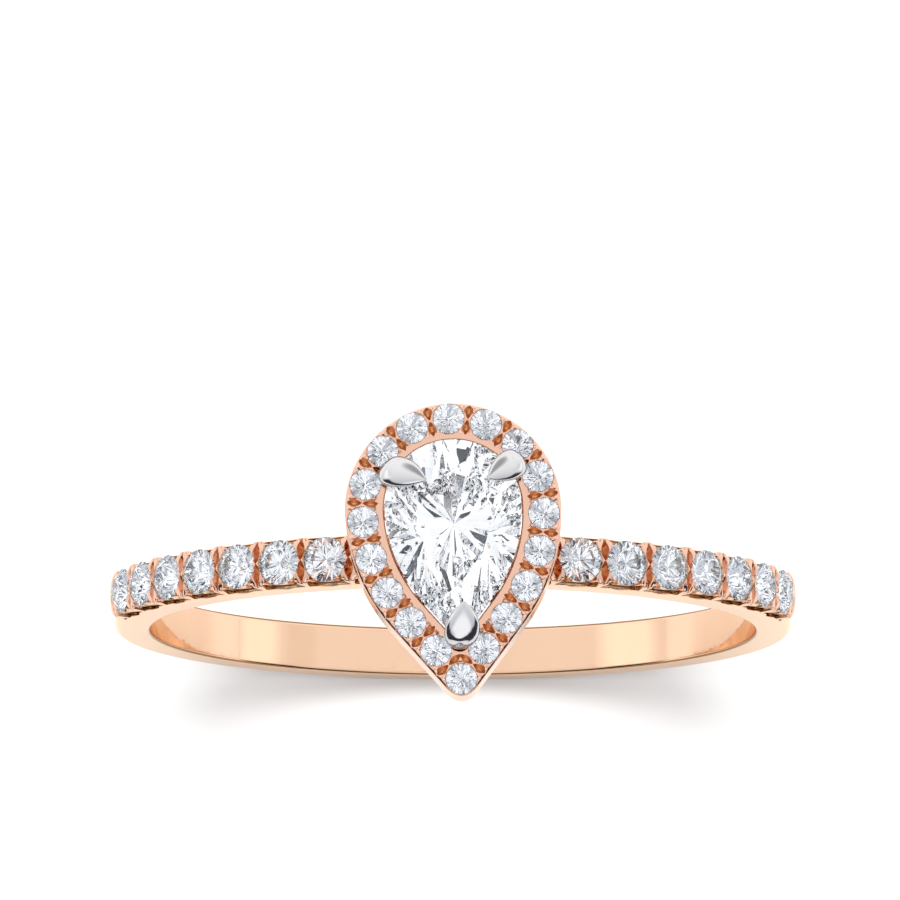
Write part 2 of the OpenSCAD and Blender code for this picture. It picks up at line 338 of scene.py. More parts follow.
def thin(obj, most):
    """Leaves the object with at most so many triangles, fewest where it is flat."""
    count = sum(len(f.vertices) - 2 for f in obj.data.polygons)
    if count <= most:
        return
    modifier = obj.modifiers.new("thin", "DECIMATE")
    modifier.ratio = most / count
    graph = bpy.context.evaluated_depsgraph_get()
    mesh = bpy.data.meshes.new_from_object(obj.evaluated_get(graph))
    obj.modifiers.clear()
    obj.data = mesh


def smooth(obj, field, step):
    """Gives the object normals from the field itself, so that polished faces reflect cleanly."""
    mesh = obj.data
    mesh.shade_smooth()
    place = np.empty(len(mesh.vertices) * 3)
    mesh.vertices.foreach_get("co", place)
    g = gradient(field, place.reshape(-1, 3) / MM, step * 0.25)
    g /= np.maximum(np.linalg.norm(g, axis=1), 1e-9)[:, None]
    mesh.normals_split_custom_set_from_vertices(g.tolist())


def finish_piece(obj, node, material):
    """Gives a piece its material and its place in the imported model."""
    obj.data.materials.clear()
    obj.data.materials.append(material)
    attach(obj, "root")
    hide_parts(node)


def cast(name, field, low, high, step, to_ring, from_ring):
    """A closed mesh of a distance field inside a box, in the piece's own frame."""
    axes = [np.arange(a - 1.5 * step, b + 2.5 * step, step) for a, b in zip(low, high)]
    grid = np.stack(np.meshgrid(*axes, indexing="ij"), axis=-1)
    values = field(grid.reshape(-1, 3)).reshape(grid.shape[:3])
    points, quads = surface_net(values, axes, False)
    points = polished(field, points, step)
    obj = make_object(name, to_ring(points), quads.tolist())
    thin(obj, MOST_TRIANGLES)
    smooth(obj, lambda p: field(from_ring(p)), step)
    return obj


# ---- The pear line -------------------------------------------------------------------------------
END_X = LINE_A - LINE_R * (1 - math.cos(SWEEP))
ARC_END = LINE_A * math.pi / 2
ARC_SIDE = LINE_R * SWEEP
HALF_LINE = ARC_END + ARC_SIDE + END_X / math.sin(SWEEP)
HALO_STEP = HALF_LINE / (HALO_COUNT / 2)


def right_place(s):
    """A point at a length along the right half of the line from the top: x, y, outward angle."""
    if s <= ARC_END:
        t = math.pi / 2 - s / LINE_A
        return LINE_A * math.cos(t), LINE_A * math.sin(t), t
    if s <= ARC_END + ARC_SIDE:
        t = (s - ARC_END) / LINE_R
        return LINE_A - LINE_R + LINE_R * math.cos(t), -LINE_R * math.sin(t), -t
    d = s - ARC_END - ARC_SIDE
    return (END_X - d * math.sin(SWEEP), -LINE_R * math.sin(SWEEP) - d * math.cos(SWEEP), -SWEEP)


def line_place(i):
    """A point on the whole line, counted in halo stones clockwise from the top."""
    if i <= HALO_COUNT / 2:
        return right_place(i * HALO_STEP)
    x, y, t = right_place((HALO_COUNT - i) * HALO_STEP)
    return -x, y, math.pi - t


def one_side(x, y):
    """Distance outward from the right half of the line, or from it carried on past the tip."""
    round_end = np.hypot(x, y) - LINE_A
    from_centre = x - (LINE_A - LINE_R)
    angle = np.arctan2(-y, from_centre)
    arc = np.hypot(from_centre, y) - LINE_R
    straight = ((x - END_X) * math.cos(SWEEP) - (y + LINE_R * math.sin(SWEEP)) * math.sin(SWEEP))
    side = np.where(angle > SWEEP, straight, arc)
    return np.where(y > 0, round_end, side)


def pear(x, y, off, tip):
    """Distance to the pear outline at an offset from the line, its point rounded over tip."""
    width = np.maximum(tip * np.clip(-0.5 * y, 0, 1), 0.001)
    return smax(one_side(x, y), one_side(-x, y), width) - off


def pear_wall(p, outer, inner, low, high, r, tip_out=TIP_ROUND):
    """Distance to an upright pear-shaped wall between two offsets from the line."""
    out = pear(p[:, 0], p[:, 1], outer, tip_out)
    inn = -pear(p[:, 0], p[:, 1], inner, INNER_TIP_ROUND)
    across = smax(out, inn, r)
    up = np.abs(p[:, 2] - (low + high) / 2) - (high - low) / 2
    return smax(across, up, r)


def nearest_local(p, places, z0):
    """Each point in the frame of its nearest place on the line: along it, outward from it, up."""
    best = np.full(len(p), 1e9)
    x = np.empty(len(p))
    v = np.empty(len(p))
    for px, py, t in places:
        dx, dy = p[:, 0] - px, p[:, 1] - py
        near = dx * dx + dy * dy
        take = near < best
        best = np.where(take, near, best)
        v = np.where(take, dx * math.cos(t) + dy * math.sin(t), v)
        x = np.where(take, -dx * math.sin(t) + dy * math.cos(t), x)
    return x, v, p[:, 2] - z0


STONE_PLACES = [line_place(i) for i in range(HALO_COUNT)]
GAP_PLACES = [line_place(i + 0.5) for i in range(HALO_COUNT)]


def bar(p, a, b, ra, rb):
    """Distance to a straight round bar with a radius at each end."""
    a, b = np.array(a, dtype=float), np.array(b, dtype=float)
    d = b - a
    share = np.clip(((p - a) @ d) / (d @ d), 0, 1)
    return np.linalg.norm(p - a - share[:, None] * d, axis=1) - (ra + (rb - ra) * share)


def leg_ends(claw):
    """The foot and the neck of a claw in the head's frame."""
    turn, foot, neck = CLAWS[claw][:3]
    c, s = math.cos(math.radians(turn)), math.sin(math.radians(turn))
    return [(u * c, u * s, z) for u, z in (foot, neck)]


def leg_space(p):
    """The legs of the three claws, a little larger, as they pass through the halo and seat rail."""
    nearest = None
    for claw in CLAWS:
        foot, neck = leg_ends(claw)
        leg = bar(p, foot, neck, FOOT_R + GAP, NECK_R + GAP)
        above = bar(p, neck, (neck[0], neck[1], neck[2] + 0.5), NECK_R + 0.04, NECK_R + 0.04)
        leg = np.minimum(leg, above)
        nearest = leg if nearest is None else np.minimum(nearest, leg)
    return nearest


def halo_field(p):
    """The halo, with its stone seats, its prongs and the pockets cut between them."""
    wall = pear_wall(p, HALO_OUTER, HALO_INNER, HALO_BOTTOM, HEAD_Z, HALO_ROUND)
    round_end = np.clip(p[:, 1] / LINE_A, 0, 1)
    outer = pear(p[:, 0], p[:, 1], HALO_OUTER, TIP_ROUND) + RIM_THINNER * round_end
    wall = smax(wall, outer, 0.03)
    edge = outer + BEVEL + p[:, 2] - HEAD_Z
    wall = smax(wall, edge * 0.7, 0.02)
    # prongs: four low beads in each gap, none of them close to a claw
    gx, gv, gz = nearest_local(p, GAP_PLACES, HALO_GIRDLE)
    across = np.abs(gv) - BEAD_OUT
    along = np.abs(gx) - BEAD_ALONG
    bead = np.sqrt(along ** 2 + (across / 1.3) ** 2 + gz ** 2) - BEAD_R
    bead = np.maximum(bead * 0.9, 0.3 - leg_space(p))
    wall = smin(wall, bead, 0.05)
    place, half_w, half_l = HALO_POCKET
    cut = lens(gx, np.abs(gv) - place, half_w, half_l) - 0.35 * (gz + 0.02)
    cut = np.maximum(cut, -HALO_POCKET_DEPTH - gz)
    wall = smax(wall, -cut, 0.025)
    sx, sv, sz = nearest_local(p, STONE_PLACES, HALO_GIRDLE)
    room = seat(sx, sv, sz, HALO_D, HALO_DRILL_R, HALO_DRILL_DEPTH)
    wall = smax(wall, -room, 0.015)
    return smax(wall, -leg_space(p), 0.02)


def gallery_field(p):
    """The halo's rail, on the band."""
    return pear_wall(p, *RAIL_WALL, FLAT_Z, RAIL_TOP, RAIL_ROUND)


def seat_rail_field(p):
    """The rail that ties the claws together under the stone."""
    ring = pear_wall(p, *SEAT_RAIL_WALL, SEAT_RAIL_LOW, SEAT_RAIL_TOP, RAIL_ROUND)
    return smax(ring, -leg_space(p), 0.02)


def base_field(p):
    """The claws' base with its bar and the peg that goes down into the band."""
    ring = pear_wall(p, *BASE_WALL, FLAT_Z, BASE_TOP, RAIL_ROUND, 0.4)
    q = head_to_ring(p)
    joist = rounded_box(q[:, 0], q[:, 2] - FLAT_Z - 0.125, 1.1, 0.125, 0.03)
    joist = smax(joist, np.abs(q[:, 1]) - 0.25, 0.05)
    peg = smax(np.hypot(q[:, 0], q[:, 1]) - PEG_R, PEG_LOW - q[:, 2], 0.05)
    peg = smax(peg, q[:, 2] - FLAT_Z - 0.1, 0.05)
    return smin(smin(ring, joist, 0.08), peg, 0.05)


def post_field(place):
    """A post between the halo's rail and the halo, and the corners of its box."""
    x, y, t = line_place(place)
    out = (math.cos(t), math.sin(t))
    foot = (x - 1.2 * out[0], y - 1.2 * out[1], RAIL_TOP - 0.3)
    head = (x - 0.25 * out[0], y - 0.25 * out[1], HALO_BOTTOM + 0.3)

    def field(p):
        post = bar(p, foot, head, POST_R, POST_R)
        middle = (RAIL_TOP + HALO_BOTTOM) / 2
        spread = 0.15 * ((p[:, 2] - middle) / (HALO_BOTTOM - middle)) ** 4
        post = post - 0.1 * spread + 0.02
        ends = np.abs(p[:, 2] - middle) - (HALO_BOTTOM - RAIL_TOP) / 2
        return smax(post, ends, 0.03)

    low = np.minimum(foot, head) - POST_R
    high = np.maximum(foot, head) + POST_R
    low[2], high[2] = RAIL_TOP, HALO_BOTTOM
    return field, low, high


# ---- Claws ---------------------------------------------------------------------------------------
# A claw is modelled in its own plane: u outward from the middle of the pear's round end, v across.

def crown_height(x, y):
    """Height of the centre stone's crown over a place in the head's frame."""
    inside = np.maximum(-pear(x, y, STONE_OFFSET, 0.3), 0)
    slope = STONE_CROWN / (1 - STONE_TABLE) / (LINE_A + STONE_OFFSET)
    return STONE_GIRDLE_Z + STONE_GIRDLE / 2 + np.minimum(slope * inside, STONE_CROWN)


def claw_field(claw):
    """A claw in its own plane, the corners of its box, and the turn that puts it in place."""
    turn, foot, neck, tip, widest, outer, half_w, shift, lean = CLAWS[claw]
    angle = math.radians(turn)

    def drop_field(u, v, z):
        back = np.clip((u - widest) / (outer - widest), 0, 1)
        front = np.clip((widest - u) / (widest - tip), 0, 1)
        full = np.sqrt(np.maximum(1 - back ** DROP_CURVE, 0))
        width = half_w * full * (1 - 0.92 * front ** 2)
        thick = DROP_THICK * full * (1 - 0.75 * front ** 1.6)
        height = HEAD_Z + DROP_HEIGHT + 0.42 * (widest - u) / (widest - tip)
        width, thick = np.maximum(width, 0.02), np.maximum(thick, 0.02)
        across = v - shift - lean * (u - widest)
        r = np.sqrt((across / width) ** 2 + ((z - height) / thick) ** 2)
        drop = (r - 1) * np.minimum(width, thick) * 0.9
        return np.maximum(drop, np.maximum(u - outer, tip - u))

    def field(p):
        z = p[:, 2]
        drop = drop_field(p[:, 0], p[:, 1], z)
        leg = bar(p, (foot[0], 0, foot[1]), (neck[0], 0, neck[1]), FOOT_R, NECK_R)
        leg = np.maximum(leg, BASE_TOP - z)
        riser = bar(p, (neck[0], 0, neck[1]), (widest + 0.12, 0, HEAD_Z + 0.36), NECK_R, 0.22)
        claw = smin(smin(leg, riser, 0.05), drop, 0.12)
        q = turned(p, angle)
        stone = z - crown_height(q[:, 0], q[:, 1])
        edge = pear(q[:, 0], q[:, 1], STONE_OFFSET, 0.3)
        body = np.maximum(np.maximum(stone, edge), STONE_GIRDLE_Z - 0.5 - z)
        return smax(claw, GAP - body, 0.015)

    reach = half_w + 0.2
    low = (min(tip, foot[0]) - FOOT_R, -reach, BASE_TOP)
    high = (max(outer, neck[0] + NECK_R), reach, HEAD_Z + 1.0)
    return field, low, high, angle


# ---- The band ------------------------------------------------------------------------------------

def band_body(r, y):
    """The plain band's section, rounder outside than in the bore."""
    middle = (FINGER_R + PLAIN_R) / 2
    corner = np.where(r > middle, OUTER_ROUND, INNER_ROUND)
    return rounded_box(r - middle, y, (PLAIN_R - FINGER_R) / 2, BAND_W / 2, corner)


def row_places(turn, r):
    """Points in the frame of the nearest side stone and of the nearest gap: along the row, up."""

    def local(angle):
        d = np.radians(turn - angle)
        return r * np.sin(d), r * np.cos(d) - SIDE_R

    count = (turn - SIDE_FIRST) / SIDE_PITCH
    stone = np.clip(np.round(count), 0, SIDE_COUNT - 1)
    gap = np.clip(np.round(count + 0.5), 0, SIDE_COUNT)
    return local(SIDE_FIRST + stone * SIDE_PITCH), local(SIDE_FIRST + (gap - 0.5) * SIDE_PITCH)


def with_row(body, turn, y, r, gx, gz):
    """The band with the raised row on it, before the stones' places are cut."""
    # the row is rounded along its top edges and ends beyond the last prongs
    top = r - SIDE_R - ROW_TOP + ROW_CROWN * (y / ROW_HALF_W) ** 2
    past_end = (turn - ROW_END) * math.pi / 180 * r
    row = smax(np.abs(y) - ROW_HALF_W, top, ROW_ROUND)
    row = smax(row, past_end, ROW_ROUND)
    row = np.maximum(row, FINGER_R + 0.4 - r)
    metal = smin(body, row, 0.05)
    # a groove between the row and the side of the band, bridged by a fin under each pair of prongs
    across = np.abs(y) - (GROOVE_IN + GROOVE_OUT) / 2
    groove = np.maximum(np.abs(across) - (GROOVE_OUT - GROOVE_IN) / 2, GROOVE_R - r)
    groove = np.maximum(groove, past_end)
    metal = smax(metal, -groove, 0.03)
    fin = np.abs(gx) - np.clip(0.17 + 0.28 * gz, 0.03, 0.18)
    fin = smax(fin * 0.95, np.abs(y) - FIN_OUT + 0.08 * gz, 0.06)
    fin = smax(fin, top, 0.08)
    fin = np.maximum(fin, GROOVE_R - 0.05 - r)
    return smin(metal, fin, 0.02)


def cut_for_stones(metal, y, sx, sz, gx, gz):
    """The row with the places of its stones cut in it, which leaves the prongs standing."""
    # scallops that show each stone's side between its prongs
    arch = np.hypot(sx, np.minimum(sz + 0.02, 0)) - SCALLOP_R
    scallop = smax(arch, SCALLOP_IN - np.abs(y), 0.05)
    metal = smax(metal, -scallop, 0.03)
    # a pocket at each end of each gap, and a notch that splits the prongs beyond it
    place, half_w, half_l = SIDE_POCKET
    cut = lens(gx, np.abs(y) - place, half_w, half_l) - 0.3 * gz
    cut = np.maximum(cut, -SIDE_POCKET_DEPTH - gz)
    metal = smax(metal, -cut, 0.02)
    notch = (np.abs(gx) - 0.25 * (gz + 0.1)) * 0.95
    notch = np.maximum(notch, NOTCH_IN - np.abs(y))
    metal = smax(metal, -notch, 0.03)
    room = seat(sx, y, sz, SIDE_D, SIDE_DRILL_R, SIDE_DRILL_DEPTH)
    return smax(metal, -room, 0.015)


def band_field(q):
    """The band with both rows. q holds angle from the top, place along the finger and radius."""
    theta, y, r = q[:, 0], q[:, 1], q[:, 2]
    turn = np.degrees(np.abs((theta + math.pi) % (2 * math.pi) - math.pi))
    (sx, sz), (gx, gz) = row_places(turn, r)
    metal = with_row(band_body(r, y), turn, y, r, gx, gz)
    metal = cut_for_stones(metal, y, sx, sz, gx, gz)
    z = r * np.cos(theta)
    return smax(metal, z - FLAT_Z, 0.02)


def band_to_ring(q):
    """From angle, place along the finger and radius to the ring's frame."""
    return np.stack([q[:, 2] * np.sin(q[:, 0]), q[:, 1], q[:, 2] * np.cos(q[:, 0])], axis=1)


def ring_to_band(p):
    """From the ring's frame to angle, place along the finger and radius."""
    angle = np.arctan2(p[:, 0], p[:, 2])
    return np.stack([angle, p[:, 1], np.hypot(p[:, 0], p[:, 2])], axis=1)


def build_band():
    """The band as one closed mesh, finer along the rows of stones."""
    fine = FINE_STEP
    row_start = math.radians(HEAD_ARC)
    row_stop = math.radians(ROW_END + 2)
    head = np.arange(0, row_start, math.radians(HEAD_ARC_STEP))
    row = np.arange(row_start, row_stop, fine / SIDE_R)
    plain = np.linspace(row_stop, math.pi, PLAIN_STEPS, endpoint=False)
    half = np.concatenate([head, row, plain])
    axes = [np.concatenate([-half[:0:-1], half]),
            np.arange(-BAND_W / 2 - 1.5 * fine, BAND_W / 2 + 2.5 * fine, fine),
            np.arange(FINGER_R - 1.5 * fine, SIDE_R + ROW_TOP + 2.5 * fine, fine)]
    grid = np.stack(np.meshgrid(*axes, indexing="ij"), axis=-1)
    values = band_field(grid.reshape(-1, 3)).reshape(grid.shape[:3])
    points, quads = surface_net(values, axes, True)

    def field(p):
        return band_field(ring_to_band(p))

    points = polished(field, band_to_ring(points), fine)
    obj = make_object("band_casting", points, quads.tolist())
    thin(obj, MOST_TRIANGLES)
    smooth(obj, field, fine)
    finish_piece(obj, "band", ROSE)


# ---- Stones --------------------------------------------------------------------------------------

def plane_height(a, b, c, x, y):
    """Height at x, y of the plane through three points."""
    n = np.cross(b - a, c - a)
    return a[2] - (n[0] * (x - a[0]) + n[1] * (y - a[1])) / n[2]


def girdle_heights(girdle, steps, z, ring):
    """Heights along the girdle. Its corners are at z, and the points between two corners lie in
    the plane of the facet that also meets the ring of facet corners above or below."""
    n = len(girdle)
    heights = []
    for i in range(n):
        k = i // steps
        if i % steps == 0:
            heights.append(z)
            continue
        a = np.array([*girdle[k * steps], z])
        b = np.array([*girdle[(k + 1) * steps % n], z])
        heights.append(plane_height(ring[k // 2], a, b, *girdle[i]))
    return heights


def brilliant_faces(n, steps):
    """The facets by their points: 8 of the table, 8 of the stars, n along the girdle's upper edge,
    n along its lower edge, 8 on the pavilion and the culet."""
    stars, upper = 8, 16
    lower = upper + n
    lows = lower + n
    culet = lows + 8
    half = 2 * steps
    faces = [list(range(8))]
    faces += [[k, stars + k, (k + 1) % 8] for k in range(8)]
    faces += [[k, stars + (k + 7) % 8, upper + k * half, stars + k] for k in range(8)]
    for k in range(16):
        run = [(k * steps + i) % n for i in range(steps + 1)]
        faces.append([stars + k // 2] + [upper + i for i in run])
        faces.append([lows + k // 2] + [lower + i for i in reversed(run)])
    faces += [[upper + i, lower + i, lower + (i + 1) % n, upper + (i + 1) % n] for i in range(n)]
    faces += [[culet, lows + k, lower + k * half, lows + (k + 7) % 8] for k in range(8)]
    return faces


def brilliant(girdle, steps, table, crown, thick, pavilion, star=0.5, low=0.24):
    """A cut stone with eight mains above and below, each facet flat. girdle holds 16 * steps
    points, anticlockwise, starting at a main."""
    mains = girdle[0::2 * steps]
    betweens = girdle[steps::2 * steps]
    up = thick / 2
    top = [np.array([table * x, table * y, up + crown]) for x, y in mains]
    stars = []
    for k in range(8):
        edge = (top[k] + top[(k + 1) % 8])[:2] / 2
        place = edge + star * (betweens[k] - edge)
        stars.append(np.array([place[0], place[1], up + crown * STAR_HEIGHT]))
    low_z = -up - pavilion * LOWER_DEPTH
    lows = [np.array([low * x, low * y, low_z]) for x, y in betweens]
    heights = girdle_heights(girdle, steps, up, stars)
    upper = [np.array([x, y, z]) for (x, y), z in zip(girdle, heights)]
    heights = girdle_heights(girdle, steps, -up, lows)
    lower = [np.array([x, y, z]) for (x, y), z in zip(girdle, heights)]
    points = np.array(top + stars + upper + lower + lows + [np.array([0, 0, -up - pavilion])])
    return points, brilliant_faces(len(girdle), steps)


def round_brilliant(d, steps=2):
    """A round stone of width d, its girdle drawn with 16 * steps sides."""
    t = np.arange(16 * steps) * 2 * math.pi / (16 * steps)
    girdle = np.stack([d / 2 * np.cos(t), d / 2 * np.sin(t)], axis=1)
    return brilliant(girdle, steps, ROUND_TABLE, ROUND_CROWN * d, ROUND_GIRDLE * d,
                     ROUND_PAVILION * d)


# Greys of painted reflection on the pavilion facets, taken in turn round each stone
SMALL_PAINTED_GREYS = (0.5, 1.0, 0.85, 1.0)
CENTRE_PAINTED_GREYS = (1.0, 1.0, 0.9, 1.0, 1.0, 1.0, 1.0, 0.78, 1.0, 1.0, 1.0, 1.0, 0.92)


def back_with(obj, mirror, up, painted_facet_greys):
    """Gives the pavilion's facets their own material, and each facet a grey of painted reflection."""
    obj.data.shade_flat()
    obj.data.materials.append(mirror)
    facet = obj.data.attributes.new("facet", "FLOAT", "FACE")
    for face in obj.data.polygons:
        facet.data[face.index].value = painted_facet_greys[face.index // 2 % len(painted_facet_greys)]
        if face.normal.dot(Vector(up)) < -0.05:
            face.material_index = 1


def pear_outline(off, tip_round, count):
    """Evenly spaced points round the pear, anticlockwise from the top."""
    right = []
    for t in np.radians(np.arange(90, -0.1, -1)):
        right.append(((LINE_A + off) * math.cos(t), (LINE_A + off) * math.sin(t)))
    arc_r = LINE_R + off
    for t in np.radians(np.arange(1, math.degrees(SWEEP) + 0.1, 1)):
        right.append((LINE_A - LINE_R + arc_r * math.cos(t), -arc_r * math.sin(t)))
    end_x = LINE_A + off - arc_r * (1 - math.cos(SWEEP))
    tip_y = -arc_r * math.sin(SWEEP) - end_x / math.tan(SWEEP)
    round_y = tip_y + tip_round / math.sin(SWEEP)
    for t in np.linspace(SWEEP, math.pi / 2, 6):
        right.append((tip_round * math.cos(t), round_y - tip_round * math.sin(t)))
    right = np.array(right)
    length = np.concatenate([[0], np.cumsum(np.hypot(*np.diff(right, axis=0).T))])
    at = np.linspace(0, length[-1], count // 2 + 1)
    right = np.stack([np.interp(at, length, right[:, k]) for k in (0, 1)], axis=1)
    left = right[1:-1] * [-1, 1]
    return np.concatenate([left, right[::-1]])


# ---- Materials -----------------------------------------------------------------------------------
# Places in millimetres where the rose gold changes its colour, and is fully changed
PINK_RADII = (9.66, 9.80)
# across the band, where the painted dark reflection along the bore's edges starts and is full
BORE_PAINTED_REFLECTION = (0.635, 0.65)


class Nodes:
    """Short ways to add nodes to one node tree."""

    def __init__(self, tree):
        self.nodes = tree.nodes
        self.links = tree.links

    def add(self, kind, inputs=(), **settings):
        """A new node. Each input is given a value or another node's output."""
        node = self.nodes.new("ShaderNode" + kind)
        for key, value in settings.items():
            setattr(node, key, value)
        for key, value in dict(inputs).items():
            if hasattr(value, "is_output"):
                self.links.new(value, node.inputs[key])
            else:
                node.inputs[key].default_value = value
        return node

    def math(self, operation, a, b=0.0):
        """One number from one or two."""
        return self.add("Math", {0: a, 1: b}, operation=operation).outputs[0]

    def ramp(self, value, low, high, at_low=0.0, at_high=1.0, curve="LINEAR"):
        """Carries the range from low to high over to the range from at_low to at_high."""
        given = {"Value": value, "From Min": low, "From Max": high,
                 "To Min": at_low, "To Max": at_high}
        return self.add("MapRange", given, interpolation_type=curve).outputs["Result"]

    def mix(self, share, first, second):
        """A colour from the first at share 0 to the second at share 1."""
        return self.add("Mix", {0: share, 6: first, 7: second}, data_type="RGBA").outputs[2]


def new_material(name):
    """A material, its nodes and its shader."""
    m = bpy.data.materials.new(name)
    m.use_nodes = True
    return m, Nodes(m.node_tree), m.node_tree.nodes["Principled BSDF"]


def pink_and_painted_shade_colour(n, colour, split, side, radius, pink_and_painted_shade):
    """Rose gold's colour by place: pinker on the rows and the head, painted shade in the groove
    beside the rows, and a painted dark reflection in brown along the bore's edges."""
    pink, groove, line = pink_and_painted_shade
    colour = n.mix(n.ramp(radius, PINK_RADII[0] * MM, PINK_RADII[1] * MM), colour, (*pink, 1))
    deep_in = n.ramp(radius, (GROOVE_R + 0.34) * MM, (GROOVE_R + 0.22) * MM)
    inner = n.ramp(side, (GROOVE_IN - 0.03) * MM, (GROOVE_IN - 0.01) * MM)
    outer = n.ramp(side, (GROOVE_OUT + 0.01) * MM, (GROOVE_OUT - 0.01) * MM)
    upper = n.ramp(split["Z"], 2.2 * MM, 2.5 * MM)
    row = n.math("MULTIPLY", upper, n.ramp(radius, 9.3 * MM, 9.36 * MM))
    share = n.math("MULTIPLY", n.math("MULTIPLY", deep_in, inner), n.math("MULTIPLY", outer, row))
    # painted shade: the groove beside each row is painted dark brown along the row
    colour = n.mix(share, colour, (*groove, 1))
    # painted reflection: a dark brown line is painted along the bore's edges, for the dark the edge
    # reflects
    near = n.ramp(radius, (FINGER_R + 0.06) * MM, (FINGER_R + 0.04) * MM)
    rim = n.ramp(side, BORE_PAINTED_REFLECTION[0] * MM, BORE_PAINTED_REFLECTION[1] * MM)
    return n.mix(n.math("MULTIPLY", near, rim), colour, (*line, 1))


def metal_material(name, light, dark, edge, painted_recess_colour, rough, pink_and_painted_shade=None):
    """Polished metal. Its colour drifts a little, recesses get a painted shade, and fine marks
    that run round the finger vary the gloss and the surface. The last argument gives the pink of
    the set parts, the painted shade in the groove beside the row and the painted dark reflection
    along the inner edge line."""
    m, n, shader = new_material(name)
    shader.inputs["Metallic"].default_value = 1.0
    shader.inputs["Specular Tint"].default_value = (*edge, 1)
    place = n.add("TexCoord").outputs["Object"]
    split = n.add("SeparateXYZ", {0: place}).outputs
    x, y, z = split["X"], split["Y"], split["Z"]
    drift = n.add("TexNoise", {"Vector": place, "Scale": 350, "Detail": 3}).outputs["Fac"]
    colour = n.mix(n.ramp(drift, 0.35, 0.65), (*dark, 1), (*light, 1))
    turn = n.math("ARCTAN2", x, z)
    squares = n.math("ADD", n.math("POWER", x, 2.0), n.math("POWER", z, 2.0))
    radius = n.math("SQRT", squares)
    if pink_and_painted_shade:
        colour = pink_and_painted_shade_colour(n, colour, split, n.math("ABSOLUTE", y), radius, pink_and_painted_shade)
    # painted shade: where ambient occlusion finds a recess, the colour is mixed towards a darker
    # recess colour
    recess = n.add("AmbientOcclusion", {"Distance": 0.13 * MM}, samples=6, only_local=False)
    painted_recess_shade = n.ramp(recess.outputs["AO"], 0.2, 0.7, 1.0, 0.0)
    n.links.new(n.mix(painted_recess_shade, colour, (*painted_recess_colour, 1)), shader.inputs["Base Color"])
    along = n.math("MULTIPLY", turn, 1.5 * MM)
    polar = n.add("CombineXYZ", {0: along, 1: y, 2: radius}).outputs[0]
    marks = n.add("TexNoise", {"Vector": polar, "Scale": 14000, "Detail": 3}).outputs["Fac"]
    gloss = n.ramp(marks, 0.3, 0.7, rough * 0.5, rough * 1.5)
    n.links.new(gloss, shader.inputs["Roughness"])
    bump = n.add("Bump", {"Strength": 0.12, "Distance": 0.002 * MM, "Height": marks})
    n.links.new(bump.outputs["Normal"], shader.inputs["Normal"])
    return m


def pavilion_material(name, light, dark):
    """The pavilion's facets, seen from inside, where they throw the light back. Each facet has its
    own painted grey, a painted reflection of the dark and light it would see of the room."""
    m, n, shader = new_material(name)
    shader.inputs["Metallic"].default_value = 1.0
    shader.inputs["Roughness"].default_value = 0.0
    place = n.add("TexCoord").outputs["Object"]
    cloud = n.add("TexNoise", {"Vector": place, "Scale": 1500}).outputs["Fac"]
    facet = n.add("Attribute", attribute_name="facet").outputs["Fac"]
    # painted reflection: each facet's grey darkens its mirror colour
    shade = n.math("MULTIPLY", facet, n.ramp(cloud, 0.3, 0.7, 0.94, 1.0))
    n.links.new(n.mix(shade, (*dark, 1), (*light, 1)), shader.inputs["Base Color"])
    return m


def diamond_material(name, clear, faint, shine):
    """A stone's crown and girdle: clear, with faint clouds in it."""
    m, n, shader = new_material(name)
    shader.inputs["Transmission Weight"].default_value = 1.0
    shader.inputs["IOR"].default_value = 2.417
    shader.inputs["Specular Tint"].default_value = (shine, shine, shine, 1)
    shader.inputs["Roughness"].default_value = 0.0
    place = n.add("TexCoord").outputs["Object"]
    cloud = n.add("TexNoise", {"Vector": place, "Scale": 900}).outputs["Fac"]
    tint = n.add("ValToRGB", {"Fac": cloud})
    tint.color_ramp.elements[0].color = (*faint, 1)
    tint.color_ramp.elements[1].color = (*clear, 1)
    n.links.new(tint.outputs["Color"], shader.inputs["Base Color"])
    return m


# Painted shade: each metal's fourth colour is painted into its recesses. The rose gold's last colours
# are the pink of the set parts, the painted shade in the groove beside the row and the painted dark
# reflection along the bore's edges.
ROSE = metal_material("rose_gold", (0.80, 0.545, 0.38), (0.77, 0.51, 0.355), (1.0, 0.92, 0.81),
                      (0.74, 0.54, 0.34), 0.08,
                      ((0.73, 0.46, 0.345), (0.15, 0.065, 0.04), (0.26, 0.14, 0.06)))
WHITE = metal_material("white_gold", (0.62, 0.62, 0.63), (0.56, 0.56, 0.57), (0.9, 0.9, 0.9),
                       (0.2, 0.2, 0.2), 0.1)
CLEAR = diamond_material("centre_diamond", (1.0, 1.0, 1.0), (0.96, 0.98, 1.0), 0.35)
# the pavilions' dark colours are painted reflection, laid on the facets by their greys
CLEAR_BACK = pavilion_material("centre_pavilion", (1.0, 1.0, 1.0), (0.16, 0.20, 0.27))
SMALL_BACK = pavilion_material("small_pavilion", (1.0, 1.0, 1.0), (0.16, 0.18, 0.22))
SMALL = diamond_material("small_diamond", (0.92, 0.94, 0.97), (0.80, 0.82, 0.87), 0.5)

# ---- Build ---------------------------------------------------------------------------------------


def cast_on_head(name, node, field, low, high, step, slot, material):
    """Makes one casting of the head, whose field is in the head's frame."""
    obj = cast(name, field, low, high, step, head_to_ring, ring_to_head)
    finish_piece(obj, node, material)


